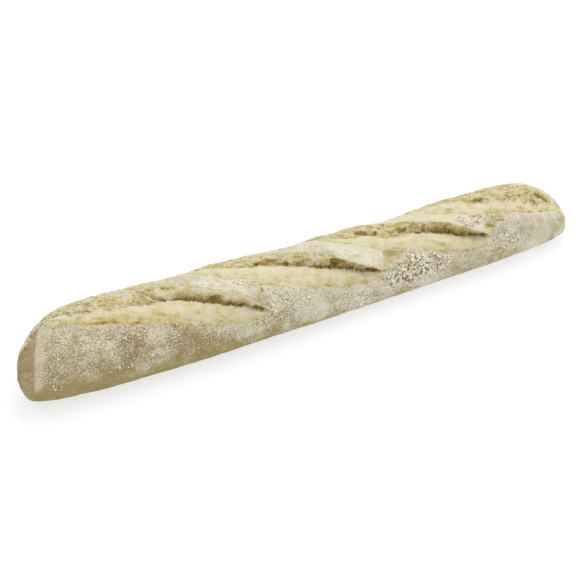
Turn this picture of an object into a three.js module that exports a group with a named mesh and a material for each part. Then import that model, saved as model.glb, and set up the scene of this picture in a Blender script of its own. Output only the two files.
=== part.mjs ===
// A long ciabatta stick: one piece of bread, pale and part-baked, dusted with flour.
// Four slanting cuts have opened in the oven. Each has a lifted crust on its far side,
// a torn wall below it, a deep crease, and a smooth skin that rises to the near edge.
//
// Millimetres. X runs along the loaf, -Y is the near side, Z is up, and the loaf rests on z = 0.
// A place on the crust is given as (u, s): u runs along the loaf and on round its ends,
// and s is the distance round the loaf from the crest, positive towards the near side.

import * as THREE from 'three';
import { mergeVertices } from 'three/addons/utils/BufferGeometryUtils.js';

// Driving dimensions of the body

const LENGTH = 500;
const END_REACH = 40;
const HALF = LENGTH / 2;
const U_END = HALF - END_REACH + END_REACH * Math.PI / 2;

// Half of the width at nine stations, evenly spaced from the left end to the right end,
// and how far the middle of the loaf wanders sideways at the same stations.
const HALF_WIDTHS = [37.1, 37.7, 38.3, 37.5, 36.4, 35.5, 35.5, 35.8, 36.2];
const WANDER = [3.4, 1.8, -1.1, -2.0, -2.9, -3.1, -2.7, -0.9, 3.6];
const HEIGHT_PER_HALF_WIDTH = 1.31;
const WIDEST_AT = 0.4;              // share of the height at which the loaf is widest
const TOP_ROUNDNESS = 2.35;         // exponents of the section: 2 is an ellipse
const BOTTOM_ROUNDNESS = 3.2;
const FLATTENING = 1.04;            // how much of the bottom is pressed flat

// Each end closes on a tip. Every side of the loaf has its own rounding there:
// the distance over which it closes, and an exponent that says how bluntly.
const LEFT_END = {
  tipY: -14, tipZ: 23,
  near: [32, 2.6], far: [54, 1.7], top: [42, 2.6], under: [6, 2.7],
  lift: 8.7, liftOver: 73,
};
const RIGHT_END = {
  tipY: 12, tipZ: 21,
  near: [21, 1.55], far: [18, 3.1], top: [70, 1.5], under: [40, 1.7],
  lift: 5, liftOver: 90,
};

// The four cuts, as lines through (u, s) points, and their depth and the lift of their
// crust at five stations, evenly spaced from the left end of the cut to its right end.
const CUTS = [
  {
    near: [
      [-253, -15], [-243, -8.5], [-234, -10], [-223, -12], [-214, -6], [-204, 5], [-190, 11.5],
      [-177, 16.5], [-160, 21.5], [-144, 26.5], [-110, 38], [-80, 43.5], [-56, 43],
    ],
    crease: [
      [-253, -16], [-243, -9.5], [-234, -11], [-223, -13.5], [-211, -12], [-200, -8], [-180, 0],
      [-150, 4], [-122, 8], [-99, 21], [-80, 31], [-56, 43],
    ],
    lip: [
      [-253, -24], [-235, -32], [-200, -40], [-150, -32], [-128, -14], [-104, 5], [-82, 20],
      [-66, 32], [-56, 42],
    ],
    depth: [1.2, 2.5, 4, 7.2, 4.5],
    lift: [0, 0, 0.3, 3, 2],
  },
  {
    near: [
      [-106, -28], [-93, -5.5], [-74, 7], [-50, 24], [-31, 30], [-14, 35], [10, 40], [30, 43],
      [50, 41.5],
    ],
    crease: [
      [-106, -32], [-72, -13], [-50, -5], [-34, 0], [-18, 8], [-2, 17], [14, 25], [30, 32],
      [50, 38],
    ],
    lip: [
      [-106, -36], [-70, -38], [-48, -24], [-35, -16], [-14, -4.5], [3, 8], [22, 23], [38, 31],
      [50, 36],
    ],
    depth: [1.5, 3.7, 5, 7, 5.5],
    lift: [0, 0, 1, 4, 2.5],
  },
  {
    near: [
      [-4, -28], [2, -20], [18, -2], [34, 9], [48, 17.5], [74, 27.5], [102, 37.5], [130, 44],
      [152, 43],
    ],
    crease: [
      [-4, -30], [16, -14], [34, -6.5], [50, -3], [65, 5], [82, 7], [104, 15], [120, 25],
      [136, 32], [152, 38],
    ],
    lip: [
      [-4, -32], [30, -36], [55, -28], [73, -15], [94, 0], [113, 11.5], [134, 24.5], [152, 37],
    ],
    depth: [1.5, 3.5, 5, 8, 6.5],
    lift: [0, 0, 1, 4, 3],
  },
  {
    near: [
      [92, -24], [111, -6], [132, 6.5], [150, 16], [174, 24], [207, 29], [226, 29], [236, 25],
    ],
    crease: [
      [92, -26], [120, -18], [144, -11], [160, 0], [178, 10], [198, 16], [222, 19], [236, 22],
    ],
    lip: [[92, -28], [130, -38], [185, -26], [205, -12], [222, 0], [236, 18]],
    depth: [0.5, 0.8, 1, 0.9, 0.5],
    lift: [0, 0, 0.5, 1, 0.5],
  },
];
const FULL_CUT_WIDTH = 12;          // a cut narrower than this is shallower in proportion
const CUT_END_TAPER = 10;           // over which a cut grows to its depth at each end
const LIFT_REACH = 9;               // how far back from its edge the lifted crust rises
const LIP_THICKNESS = 3;            // the crust at that edge
const OVERHANG = 0.8;               // how far the lifted edge leans over, per mm of lift
const WALL_BULGE = 2.4;             // over 1, the torn wall bulges out below its edge
const SKIN_CURVE = 2.2;             // over 1, the skin rises quickest beside the crease
const SKIN_BULGE = 1.2;             // the smooth skin stands this proud in its middle
const EDGE_STEP = 0.8;              // the crust at the near edge stands this proud of the skin
const EDGE_WIDTH = 2.5;
const STEP_FADE = 0.4;              // share of the skin over which that step dies out at the crease

// Air holes that show, and the rough hollows below the torn ends of two ridges:
// place, length along the loaf, width round it, depth
const AIR_HOLES = [
  { u: -97, s: 19, long: 14, wide: 4.5, deep: 2 },
  { u: -44, s: -5, long: 13, wide: 4.5, deep: 2 },
  { u: 8, s: 18, long: 15, wide: 5, deep: 2.5 },
  { u: 47, s: -9, long: 12, wide: 8, deep: 3.5 },
  { u: 79, s: 2, long: 10, wide: 5.5, deep: 2.5 },
  { u: 160, s: -4, long: 9, wide: 7.5, deep: 3 },
  { u: 181, s: -1, long: 9, wide: 8, deep: 1.5 },
  { u: 223, s: 10, long: 7, wide: 12, deep: 2.5 },
  { u: 57, s: 29, long: 11, wide: 8, deep: 1.8 },
  { u: 159, s: 31, long: 12, wide: 7, deep: 1.8 },
];

// Crags: the torn wall and the crease are broken up by small pits, drawn by a seeded rule
const CRAG_SEED = 7;
const CRAGS_PER_CUT = 36;
const CRAG_SIZE = [3, 5.5];
const CRAG_DEPTH = [1, 2.6];

// Coarse flour lies in clumps here: centre and reach of each patch, in u and s
const FLOUR_PATCHES = [
  { u: 72, s: 47, along: 40, round: 14 },
  { u: 20, s: 56, along: 24, round: 10 },
  { u: -40, s: 36, along: 26, round: 13 },
  { u: -62, s: 12, along: 16, round: 8 },
  { u: -232, s: 50, along: 8, round: 9 },
  { u: -165, s: 50, along: 22, round: 10 },
  { u: 142, s: 14, along: 13, round: 8 },
  { u: 164, s: 46, along: 18, round: 9 },
];
const FLOUR_RELIEF = 0.9;

// The dough swells where a cut has opened and draws in between two cuts
const SWELLS = [
  { u: -243, height: -2, reach: 14 },
  { u: -212, height: 0.5, reach: 18 },
  { u: -175, height: 2.7, reach: 28 },
  { u: -140, height: 0.4, reach: 16 },
  { u: -84, height: 2.3, reach: 16 },
  { u: -55, height: 0.7, reach: 16 },
  { u: 14, height: 2.2, reach: 14 },
  { u: 45, height: 2, reach: 16 },
  { u: 80, height: -0.6, reach: 20 },
  { u: 135, height: 1.5, reach: 18 },
  { u: 190, height: -1.1, reach: 14 },
  { u: 222, height: 0.6, reach: 14 },
  { u: 246, height: -3, reach: 9 },
];
const SWELL_TO = 20;                // s at which the swelling has died out, on the near side
const SWELL_FADE = 25;

// Places where the crust is drawn in: at the right tip, and above the left end
const DENTS = [
  { u: 249, s: 12, along: 7, round: 14, deep: 4.2 },
  { u: -220, s: -28, along: 18, round: 14, deep: 1.2 },
];
const UNEVENNESS = 0.6;             // slow waves in the crust, half of their height
const UNDERSIDE_FROM = 78;          // further round than this the crust is flat and even
const UNDERSIDE_FADE = 20;

// Mesh: rings that slant with the cuts, and columns that lie closer together over the top
const RINGS = 122;
const RING_SLANT = 1.9;
const TOP_FROM = -50;
const TOP_TO = 57;
const TOP_COLUMNS = 36;
const UNDER_COLUMNS = 12;

const CRUST_COLOUR = '#cfc4a2';

const clamp01 = (t) => Math.min(Math.max(t, 0), 1);
const smooth = (t) => clamp01(t) ** 2 * (3 - 2 * clamp01(t));
const mix = (a, b, t) => a + (b - a) * t;
const bell = (distance) => Math.exp(-distance * distance);

// A smooth line through [x, y] points, straight on past both ends
function lineThrough(points, x) {
  const slope = (i) => {
    const before = points[Math.max(i - 1, 0)];
    const after = points[Math.min(i + 1, points.length - 1)];
    return (after[1] - before[1]) / (after[0] - before[0]);
  };
  const last = points.length - 1;
  if (x <= points[0][0]) return points[0][1] + slope(0) * (x - points[0][0]);
  if (x >= points[last][0]) return points[last][1] + slope(last) * (x - points[last][0]);
  const i = points.findIndex((point) => point[0] > x) - 1;
  const span = points[i + 1][0] - points[i][0];
  const t = (x - points[i][0]) / span;
  const bend0 = slope(i) * span;
  const bend1 = slope(i + 1) * span;
  return (2 * t ** 3 - 3 * t ** 2 + 1) * points[i][1] + (t ** 3 - 2 * t ** 2 + t) * bend0
    + (3 * t ** 2 - 2 * t ** 3) * points[i + 1][1] + (t ** 3 - t ** 2) * bend1;
}

// A value that is given at evenly spaced stations between two places
function atStations(values, from, to, x) {
  const step = (to - from) / (values.length - 1);
  return lineThrough(values.map((value, i) => [from + i * step, value]), x);
}

// How far one side of the loaf has opened from the tip, at x: 0 at the end, 1 away from it
function opened(x, side) {
  const grow = (distance, [reach, blunt]) => (1 - (1 - clamp01(distance / reach)) ** blunt) ** (1 / blunt);
  return grow(HALF + x, LEFT_END[side]) * grow(HALF - x, RIGHT_END[side]);
}

// The plain body, without cuts: angle 0 is the far side, 90 degrees the crest, 180 the near side
function bodyPoint(u, angle) {
  const straight = HALF - END_REACH;
  const past = clamp01((Math.abs(u) - straight) / (U_END - straight)) * Math.PI / 2;
  const x = Math.sign(u) * (Math.min(Math.abs(u), straight) + END_REACH * Math.sin(past));
  const halfWidth = atStations(HALF_WIDTHS, -HALF, HALF, x);
  const middle = atStations(WANDER, -HALF, HALF, x);
  const end = x < 0 ? LEFT_END : RIGHT_END;
  const nearY = mix(end.tipY, middle - halfWidth, opened(x, 'near'));
  const farY = mix(end.tipY, middle + halfWidth, opened(x, 'far'));
  const topZ = mix(end.tipZ, halfWidth * HEIGHT_PER_HALF_WIDTH, opened(x, 'top'));
  const lift = end.lift * clamp01(1 - (HALF - Math.abs(x)) / end.liftOver) ** 2;
  const bottomZ = mix(end.tipZ, lift, opened(x, 'under'));
  const widestZ = mix(bottomZ, topZ, WIDEST_AT);

  const above = Math.sin(angle) > 0;
  const roundness = 2 / (above ? TOP_ROUNDNESS : BOTTOM_ROUNDNESS);
  const across = Math.sign(Math.cos(angle)) * Math.abs(Math.cos(angle)) ** roundness;
  const upward = Math.sign(Math.sin(angle)) * Math.abs(Math.sin(angle)) ** roundness;
  const rise = above ? upward * (topZ - widestZ) : upward * (widestZ - bottomZ) * FLATTENING;
  return new THREE.Vector3(
    x,
    (nearY + farY) / 2 + across * (farY - nearY) / 2,
    Math.max(widestZ + rise, bottomZ),
  );
}

// Distance round the middle of the loaf, measured from the crest, for each degree of angle
function measureGirth() {
  const lengths = [0];
  for (let degree = 1; degree <= 360; degree += 1) {
    const from = bodyPoint(0, THREE.MathUtils.degToRad(degree - 1));
    const to = bodyPoint(0, THREE.MathUtils.degToRad(degree));
    lengths.push(lengths[degree - 1] + from.distanceTo(to));
  }
  const crest = lengths[90];
  return lengths.map((length) => length - crest);
}
const GIRTH_AT = measureGirth();
const GIRTH = GIRTH_AT[360] - GIRTH_AT[0];

// The angle at which the distance round the loaf is s
function angleAt(s) {
  const round = s < GIRTH_AT[0] ? s + GIRTH : s;
  const degree = Math.max(GIRTH_AT.findIndex((length) => length >= round), 1);
  const part = (round - GIRTH_AT[degree - 1]) / (GIRTH_AT[degree] - GIRTH_AT[degree - 1]);
  return THREE.MathUtils.degToRad(degree - 1 + part);
}

// What one cut does at (u, s): how far the crust stands out, and how far it slides round
function cutShape(cut, u, s) {
  const from = cut.near[0][0];
  const to = cut.near[cut.near.length - 1][0];
  if (u <= from || u >= to) return { out: 0, round: 0 };
  const near = lineThrough(cut.near, u);
  const crease = Math.min(lineThrough(cut.crease, u), near - 0.5);
  const lip = Math.min(lineThrough(cut.lip, u), crease - 0.5);
  const ends = smooth((u - from) / CUT_END_TAPER) * smooth((to - u) / CUT_END_TAPER);
  const open = smooth((near - lip) / FULL_CUT_WIDTH) * ends;
  const depth = atStations(cut.depth, from, to, u) * open;
  const lift = atStations(cut.lift, from, to, u) * open;

  let out = 0;
  if (s < lip) out = lift * bell((s - lip) / LIFT_REACH);
  else if (s < crease) out = mix(lift, -depth, smooth(((s - lip) / (crease - lip)) ** WALL_BULGE));
  else if (s < near) {
    const across = (s - crease) / (near - crease);
    const belowEdge = EDGE_STEP * smooth((near - s) / EDGE_WIDTH) * smooth(across / STEP_FADE);
    const bulge = SKIN_BULGE * Math.sin(Math.PI * across) - belowEdge;
    out = -depth * (1 - across) ** SKIN_CURVE + bulge * open;
  }
  const round = lift * OVERHANG * bell((s - lip) / (s < lip ? LIFT_REACH : LIP_THICKNESS));
  return { out, round };
}

// Repeatable random numbers between 0 and 1
function seeded(seed) {
  let state = seed;
  return () => {
    state = (state * 16807) % 2147483647;
    return state / 2147483647;
  };
}

// Pits scattered over the torn wall and the crease of every cut
function scatterCrags() {
  const random = seeded(CRAG_SEED);
  const crags = [];
  for (const cut of CUTS) {
    const from = cut.near[0][0];
    const to = cut.near[cut.near.length - 1][0];
    for (let n = 0; n < CRAGS_PER_CUT; n += 1) {
      const u = mix(from, to, mix(0.05, 0.95, random()));
      const crease = lineThrough(cut.crease, u);
      const wall = Math.min(crease - lineThrough(cut.lip, u), 16);
      crags.push({
        u,
        s: crease + 1.5 - wall * random(),
        long: mix(CRAG_SIZE[0], CRAG_SIZE[1], random()),
        wide: mix(CRAG_SIZE[0], CRAG_SIZE[1], random()),
        deep: mix(CRAG_DEPTH[0], CRAG_DEPTH[1], random()),
      });
    }
  }
  return crags;
}
const PITS = [...AIR_HOLES, ...scatterCrags()];

// How deep the pits and air holes are here: a pit's floor fills its middle, and its rim is soft
function pitDepth(u, s) {
  const rim = 1.3;
  const floor = 0.5;
  let deepest = 0;
  for (const pit of PITS) {
    const apart = Math.hypot((u - pit.u) / (pit.long / 2), (s - pit.s) / (pit.wide / 2));
    deepest = Math.max(deepest, pit.deep * smooth((rim - apart) / (rim - floor)));
  }
  return deepest;
}

// Clumps of coarse flour: every point of a patch is raised by a different amount
function flourClumps(u, s, random) {
  const patchFade = 0.35;
  let cover = 0;
  for (const patch of FLOUR_PATCHES) {
    const apart = Math.hypot((u - patch.u) / patch.along, (s - patch.s) / patch.round);
    cover = Math.max(cover, smooth((1 - apart) / patchFade));
  }
  return FLOUR_RELIEF * cover * random();
}

// Swelling and slow waves of the crust, which fade out before the flat underside, and its dents
function unevenness(u, s) {
  const swell = SWELLS.reduce((sum, one) => sum + one.height * bell((u - one.u) / one.reach), 0);
  const waves = Math.sin(u / 13 + s / 21) + Math.sin(u / 29 - s / 11 + 1) + Math.sin(u / 7 + s / 9 + 2) / 2;
  const highestWave = 2.5;
  const above = smooth((UNDERSIDE_FROM - Math.abs(s)) / UNDERSIDE_FADE);
  const dent = DENTS.reduce((sum, one) => {
    return sum + one.deep * bell((u - one.u) / one.along) * bell((s - one.s) / one.round);
  }, 0);
  return above * (swell * smooth((SWELL_TO - s) / SWELL_FADE) + waves * UNEVENNESS / highestWave) - dent;
}

// Columns round the loaf: evenly over the top, and evenly but wider apart under it
function columnPlaces() {
  const places = [];
  for (let n = 0; n < TOP_COLUMNS; n += 1) places.push(mix(TOP_FROM, TOP_TO, n / TOP_COLUMNS));
  for (let n = 0; n < UNDER_COLUMNS; n += 1) {
    places.push(mix(TOP_TO, TOP_FROM + GIRTH, n / UNDER_COLUMNS));
  }
  return places;
}

// A ring slants forward over the top, comes back under the loaf, and straightens at the ends
function slantedPlace(ringPlace, s) {
  const underneath = clamp01((s - TOP_TO) / (TOP_FROM + GIRTH - TOP_TO));
  const forward = s < TOP_TO ? s : mix(TOP_TO, TOP_FROM, underneath);
  return ringPlace + RING_SLANT * forward * (1 - (ringPlace / U_END) ** 2);
}

// A point of the finished surface: the plain body, moved out or in by all that shapes it
function surfacePoint(u, s, random) {
  const angle = angleAt(s);
  const point = bodyPoint(u, angle);
  if (Math.abs(u) >= U_END) return point;
  const small = 0.01;
  const along = bodyPoint(u + small, angle).sub(bodyPoint(u - small, angle));
  const round = bodyPoint(u, angle + small).sub(bodyPoint(u, angle - small)).normalize();
  const outward = new THREE.Vector3().crossVectors(round, along).normalize();

  const fromCrest = s > GIRTH / 2 ? s - GIRTH : s;
  let out = unevenness(u, fromCrest) - pitDepth(u, fromCrest);
  let slide = 0;
  for (const cut of CUTS) {
    const shape = cutShape(cut, u, fromCrest);
    out += shape.out;
    slide += shape.round;
  }
  out += flourClumps(u, fromCrest, random);
  point.addScaledVector(outward, out).addScaledVector(round, slide);
  return point;
}

// The loaf is a closed ball of rings and columns, and every point of it is moved to its place
function loafGeometry() {
  const places = columnPlaces();
  const geometry = new THREE.SphereGeometry(1, places.length, RINGS);
  geometry.deleteAttribute('uv');
  geometry.deleteAttribute('normal');
  const position = geometry.attributes.position;
  const random = seeded(CRAG_SEED);
  for (let ring = 0; ring <= RINGS; ring += 1) {
    const place = mix(U_END, -U_END, ring / RINGS);
    const points = places.map((s) => surfacePoint(slantedPlace(place, s), s, random));
    for (let column = 0; column <= places.length; column += 1) {
      const { x, y, z } = points[column % places.length];
      position.setXYZ(ring * (places.length + 1) + column, x, y, z);
    }
  }
  const closed = mergeVertices(geometry, 1e-4);
  closed.computeBoundingBox();
  const centre = closed.boundingBox.getCenter(new THREE.Vector3());
  closed.translate(-centre.x, -centre.y, -closed.boundingBox.min.z);
  closed.computeVertexNormals();
  return closed;
}

function loaf() {
  const crust = new THREE.MeshStandardMaterial({ color: CRUST_COLOUR, roughness: 0.9, metalness: 0 });
  const mesh = new THREE.Mesh(loafGeometry(), crust);
  mesh.name = 'loaf';
  return mesh;
}

const ciabatta = new THREE.Group();
ciabatta.add(loaf());

export default ciabatta;
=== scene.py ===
import math

import bmesh
import bpy
import numpy as np
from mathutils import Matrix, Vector, noise


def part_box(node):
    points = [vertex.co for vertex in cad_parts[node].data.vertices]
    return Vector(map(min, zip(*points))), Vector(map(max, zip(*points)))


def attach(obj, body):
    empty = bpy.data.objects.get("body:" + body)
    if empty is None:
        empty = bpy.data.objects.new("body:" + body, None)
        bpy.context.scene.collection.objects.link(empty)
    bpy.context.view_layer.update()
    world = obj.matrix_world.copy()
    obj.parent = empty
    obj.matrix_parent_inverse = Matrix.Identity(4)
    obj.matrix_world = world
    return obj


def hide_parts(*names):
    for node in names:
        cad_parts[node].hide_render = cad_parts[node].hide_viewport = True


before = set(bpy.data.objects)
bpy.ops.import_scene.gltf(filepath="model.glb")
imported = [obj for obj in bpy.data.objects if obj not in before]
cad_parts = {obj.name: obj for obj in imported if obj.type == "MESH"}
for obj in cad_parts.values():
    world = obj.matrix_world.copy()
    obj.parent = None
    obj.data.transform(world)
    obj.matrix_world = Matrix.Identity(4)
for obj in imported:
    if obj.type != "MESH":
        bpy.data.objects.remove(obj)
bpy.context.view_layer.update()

# Camera
# A product shot from the near left and above, taken from about a metre away. The loaf runs from
# the lower left of the square picture to its upper right.
VIEW_AZIMUTH = math.radians(-29.93)
VIEW_ELEVATION = math.radians(33)
VIEW_DISTANCE = 1.0
AIM = Vector((0, -0.0027, 0.025))
# In pixels: the side of the picture, the focal length, and the place in the picture of the aim.
PICTURE_PIXELS = 584
FOCAL_PIXELS = 1246
AIM_PIXEL = (314.5, 274.9)


def put_in_scene(name, data):
    """A new object with the given data, linked to the scene."""
    made = bpy.data.objects.new(name, data)
    bpy.context.scene.collection.objects.link(made)
    return made


camera_data = bpy.data.cameras.new("camera")
camera_data.lens = FOCAL_PIXELS / PICTURE_PIXELS * camera_data.sensor_width
camera_data.shift_x = (PICTURE_PIXELS / 2 - AIM_PIXEL[0]) / PICTURE_PIXELS
camera_data.shift_y = (AIM_PIXEL[1] - PICTURE_PIXELS / 2) / PICTURE_PIXELS
camera = put_in_scene("camera", camera_data)
towards_camera = Vector((
    math.sin(VIEW_AZIMUTH) * math.cos(VIEW_ELEVATION),
    -math.cos(VIEW_AZIMUTH) * math.cos(VIEW_ELEVATION),
    math.sin(VIEW_ELEVATION),
))
camera.location = AIM + towards_camera * VIEW_DISTANCE
camera.rotation_euler = towards_camera.to_track_quat("Z", "Y").to_euler()
bpy.context.scene.camera = camera

# Dough
# The shaped stick of dough before its cuts open: a long round body that lies flat on one side,
# with a squared left end and a lower, slanting right end. All lengths here are in millimetres.
MM = 0.001
LENGTH = 500.0
HALF = LENGTH / 2
END_REACH = 40.0
# Places on the loaf are u, along it and on round its ends, and s, round it from the crest, where
# + is towards the near side. U_END is u at the tip.
U_END = HALF - END_REACH + END_REACH * math.pi / 2
# Half the width, and how far the middle wanders to one side, at even stations from left to right.
HALF_WIDTHS = [37.1, 37.7, 38.3, 37.5, 36.4, 35.5, 35.5, 35.8, 36.2]
WANDER = [3.4, 1.8, -1.1, -2.0, -2.9, -3.1, -2.7, -0.9, 3.6]
HEIGHT_PER_HALF_WIDTH = 1.31
WIDEST_AT = 0.4
TOP_ROUNDNESS = 2.35
BOTTOM_ROUNDNESS = 3.2
FLATTENING = 1.04
# Where each tip is and how it lifts off the table, and for each side the length over which it
# opens from the tip to its full size, and how bluntly.
LEFT_END = {"tip_y": -14.0, "tip_z": 23.0, "lift": 8.7, "lift_over": 73.0,
            "near": (32, 2.6), "far": (54, 1.7), "top": (42, 2.6), "under": (6, 2.7)}
RIGHT_END = {"tip_y": 12.0, "tip_z": 21.0, "lift": 5.0, "lift_over": 90.0,
             "near": (21, 1.55), "far": (18, 3.1), "top": (70, 1.5), "under": (40, 1.7)}


def smooth(t):
    t = np.clip(t, 0, 1)
    return t * t * (3 - 2 * t)


def mix(a, b, t):
    return a + (b - a) * t


def bell(distance):
    return np.exp(-distance * distance)


def line_through(points, x):
    """A smooth line through (x, y) points, straight on past both ends."""
    px, py = np.array(points, float).T
    before = np.maximum(np.arange(len(px)) - 1, 0)
    after = np.minimum(np.arange(len(px)) + 1, len(px) - 1)
    slope = (py[after] - py[before]) / (px[after] - px[before])
    i = np.clip(np.searchsorted(px, x, side="right") - 1, 0, len(px) - 2)
    span = px[i + 1] - px[i]
    t = np.clip((x - px[i]) / span, 0, 1)
    inside = ((2 * t**3 - 3 * t**2 + 1) * py[i] + (t**3 - 2 * t**2 + t) * slope[i] * span
              + (3 * t**2 - 2 * t**3) * py[i + 1] + (t**3 - t**2) * slope[i + 1] * span)
    return inside + slope[0] * np.minimum(x - px[0], 0) + slope[-1] * np.maximum(x - px[-1], 0)


def at_stations(values, start, end, x):
    return line_through(list(zip(np.linspace(start, end, len(values)), values)), x)


def opened(x, side):
    """How far one side of the loaf has opened from the tip of the nearer end: 0 to 1."""
    def grow(distance, reach, blunt):
        return (1 - (1 - np.clip(distance / reach, 0, 1)) ** blunt) ** (1 / blunt)
    return grow(HALF + x, *LEFT_END[side]) * grow(HALF - x, *RIGHT_END[side])


def body_point(u, angle):
    """The plain body: angle 0 is the far side, a quarter turn the crest, a half turn the near side."""
    straight = HALF - END_REACH
    past = np.clip((np.abs(u) - straight) / (U_END - straight), 0, 1) * math.pi / 2
    x = np.sign(u) * (np.minimum(np.abs(u), straight) + END_REACH * np.sin(past))
    half_width = at_stations(HALF_WIDTHS, -HALF, HALF, x)
    middle = at_stations(WANDER, -HALF, HALF, x)

    def at_end(name):
        return np.where(x < 0, LEFT_END[name], RIGHT_END[name])
    near_y = mix(at_end("tip_y"), middle - half_width, opened(x, "near"))
    far_y = mix(at_end("tip_y"), middle + half_width, opened(x, "far"))
    top_z = mix(at_end("tip_z"), half_width * HEIGHT_PER_HALF_WIDTH, opened(x, "top"))
    lift = at_end("lift") * np.clip(1 - (HALF - np.abs(x)) / at_end("lift_over"), 0, 1) ** 2
    bottom_z = mix(at_end("tip_z"), lift, opened(x, "under"))
    widest_z = mix(bottom_z, top_z, WIDEST_AT)

    above = np.sin(angle) > 0
    roundness = 2 / np.where(above, TOP_ROUNDNESS, BOTTOM_ROUNDNESS)
    across = np.sign(np.cos(angle)) * np.abs(np.cos(angle)) ** roundness
    upward = np.sign(np.sin(angle)) * np.abs(np.sin(angle)) ** roundness
    rise = upward * np.where(above, top_z - widest_z, (widest_z - bottom_z) * FLATTENING)
    y = (near_y + far_y) / 2 + across * (far_y - near_y) / 2
    return np.stack([x, y, np.maximum(widest_z + rise, bottom_z)], axis=-1)


# How far round the middle of the loaf from its crest each degree of a full turn lies.
TURN = np.radians(np.arange(361))
CREST_DEGREE = 90
middle_section = body_point(np.zeros(len(TURN)), TURN)
section_steps = np.linalg.norm(np.diff(middle_section, axis=0), axis=1)
girth_at = np.concatenate([[0], np.cumsum(section_steps)])
girth_at -= girth_at[CREST_DEGREE]
GIRTH = girth_at[-1] - girth_at[0]


def angle_at(s):
    """The angle of the places that are s round the loaf from its crest."""
    return np.interp(np.where(s < girth_at[0], s + GIRTH, s), girth_at, TURN)


# Cuts
# Four cuts made slanting across the dough with a thin blade, which opened in the oven. Each has
# a lifted crust on its far side, a torn wall that bulges below it, a ragged slot where the dough
# tore deepest, and a smooth skin up to its near edge.
FULL_CUT_WIDTH = 12
CUT_END_TAPER = 10
LIFT_REACH = 9
LIP_THICKNESS = 3
OVERHANG = 0.8
WALL_BULGE = 2.4
SKIN_CURVE = 2.2
SKIN_BULGE = 1.2
EDGE_STEP = 0.8
EDGE_WIDTH = 2.5
# The slot widens with its depth and leans in under the lip. Its lower border is steeper than its
# upper one. Bridges of dough narrow it, and short tongues of crumb reach into it.
SLOT_HALF_WIDTH = 0.8
SLOT_WIDENING = 0.3
SLOT_LEAN = 0.5
LOWER_BORDER = 0.65
UPPER_BORDER = 1.1
BRIDGE_SPACING = 2.4
CRUMB_TONGUE = 1.8
# How each line of a cut strays, coarsely and finely: how far, over what length, and its seed.
STRAYING = {
    "near": [(0.9, 11, 1), (0.6, 3.5, 5)],
    "crease": [(0.9, 6, 10), (0.5, 2.5, 15)],
    "lip": [(0.8, 7, 20), (0.5, 2.5, 25)],
}
# The near edge, crease and lip are (u, s) points from left to right. Depth, lift, slot and how
# bubbly the torn dough is are values at even stations from one end of the cut to the other.
CUTS = [
    {
        "near": [(-253, -15), (-243, -8.5), (-234, -10), (-223, -12), (-214, -6), (-204, 5),
                 (-190, 11.5), (-177, 16.5), (-160, 21.5), (-144, 26.5), (-110, 38), (-80, 43.5),
                 (-56, 43)],
        "crease": [(-253, -16), (-243, -9.5), (-234, -11), (-223, -13.5), (-211, -12), (-200, -8),
                   (-180, 0), (-150, 4), (-122, 8), (-99, 21), (-80, 31), (-56, 43)],
        "lip": [(-253, -24), (-235, -32), (-200, -40), (-150, -32), (-128, -14), (-104, 5),
                (-82, 20), (-66, 32), (-56, 42)],
        "depth": [1, 2, 3, 4.2, 2],
        "lift": [0, 0, 0.3, 3, 2],
        "slot": [0.2, 0.5, 1, 3.2, 2.6],
        "bubbly": [1, 1, 0.7, 0.2, 0.2],
        "toasted": 0.12,
    },
    {
        "near": [(-106, -28), (-93, -5.5), (-74, 7), (-50, 24), (-31, 30), (-14, 35), (10, 40),
                 (30, 43), (50, 41.5)],
        "crease": [(-106, -32), (-72, -13), (-50, -5), (-34, 0), (-18, 8), (-2, 17), (14, 25),
                   (30, 32), (50, 38)],
        "lip": [(-106, -36), (-70, -38), (-48, -24), (-35, -16), (-14, -4.5), (3, 8), (22, 23),
                (38, 31), (50, 36)],
        "depth": [1, 2.5, 3.5, 4.3, 2],
        "lift": [0, 0, 1, 4, 2.5],
        "slot": [0.5, 1.2, 1.5, 2.5, 4],
        "bubbly": [0.5, 0.6, 0.6, 0.3, 0.2],
        "toasted": 0.24,
    },
    {
        "near": [(-4, -28), (2, -20), (18, -2), (34, 9), (48, 17.5), (74, 27.5), (102, 37.5),
                 (130, 44), (152, 43)],
        "crease": [(-4, -30), (16, -14), (34, -6.5), (50, -3), (65, 5), (82, 7), (104, 15),
                   (120, 25), (136, 32), (152, 38)],
        "lip": [(-4, -32), (30, -36), (55, -28), (73, -15), (94, 0), (113, 11.5), (134, 24.5),
                (152, 37)],
        "depth": [1, 2.5, 3.5, 4.5, 2.2],
        "lift": [0, 0, 1, 4, 3],
        "slot": [0.5, 0.8, 1, 3.6, 4.5],
        "bubbly": [0.5, 0.6, 0.8, 0.4, 0.2],
        "toasted": 0.24,
    },
    {
        "near": [(92, -24), (111, -6), (132, 6.5), (150, 16), (174, 24), (207, 29), (226, 29),
                 (246, 25)],
        "crease": [(92, -26), (120, -18), (144, -11), (160, 0), (178, 10), (198, 16), (222, 19),
                   (246, 23)],
        "lip": [(92, -28), (130, -38), (185, -28), (205, -20), (225, -12), (246, 14)],
        "depth": [0.5, 0.6, 0.8, 0.7, 0.5],
        "lift": [0, 0, 0.5, 1, 0.5],
        "slot": [0, 0, 0, 0, 0],
        "bubbly": [0.4, 0.7, 0.9, 0.9, 0.5],
        "toasted": 0.26,
    },
]


def wobble(u, size, seed):
    """Smooth random values along the loaf, about -1 to 1, with bumps of the given size."""
    stations = np.arange(-U_END - size, U_END + size, size / 6)
    values = [2 * noise.noise(Vector((station / size, seed * 7.3, 1.7))) for station in stations]
    return np.interp(u, stations, values)


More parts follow.
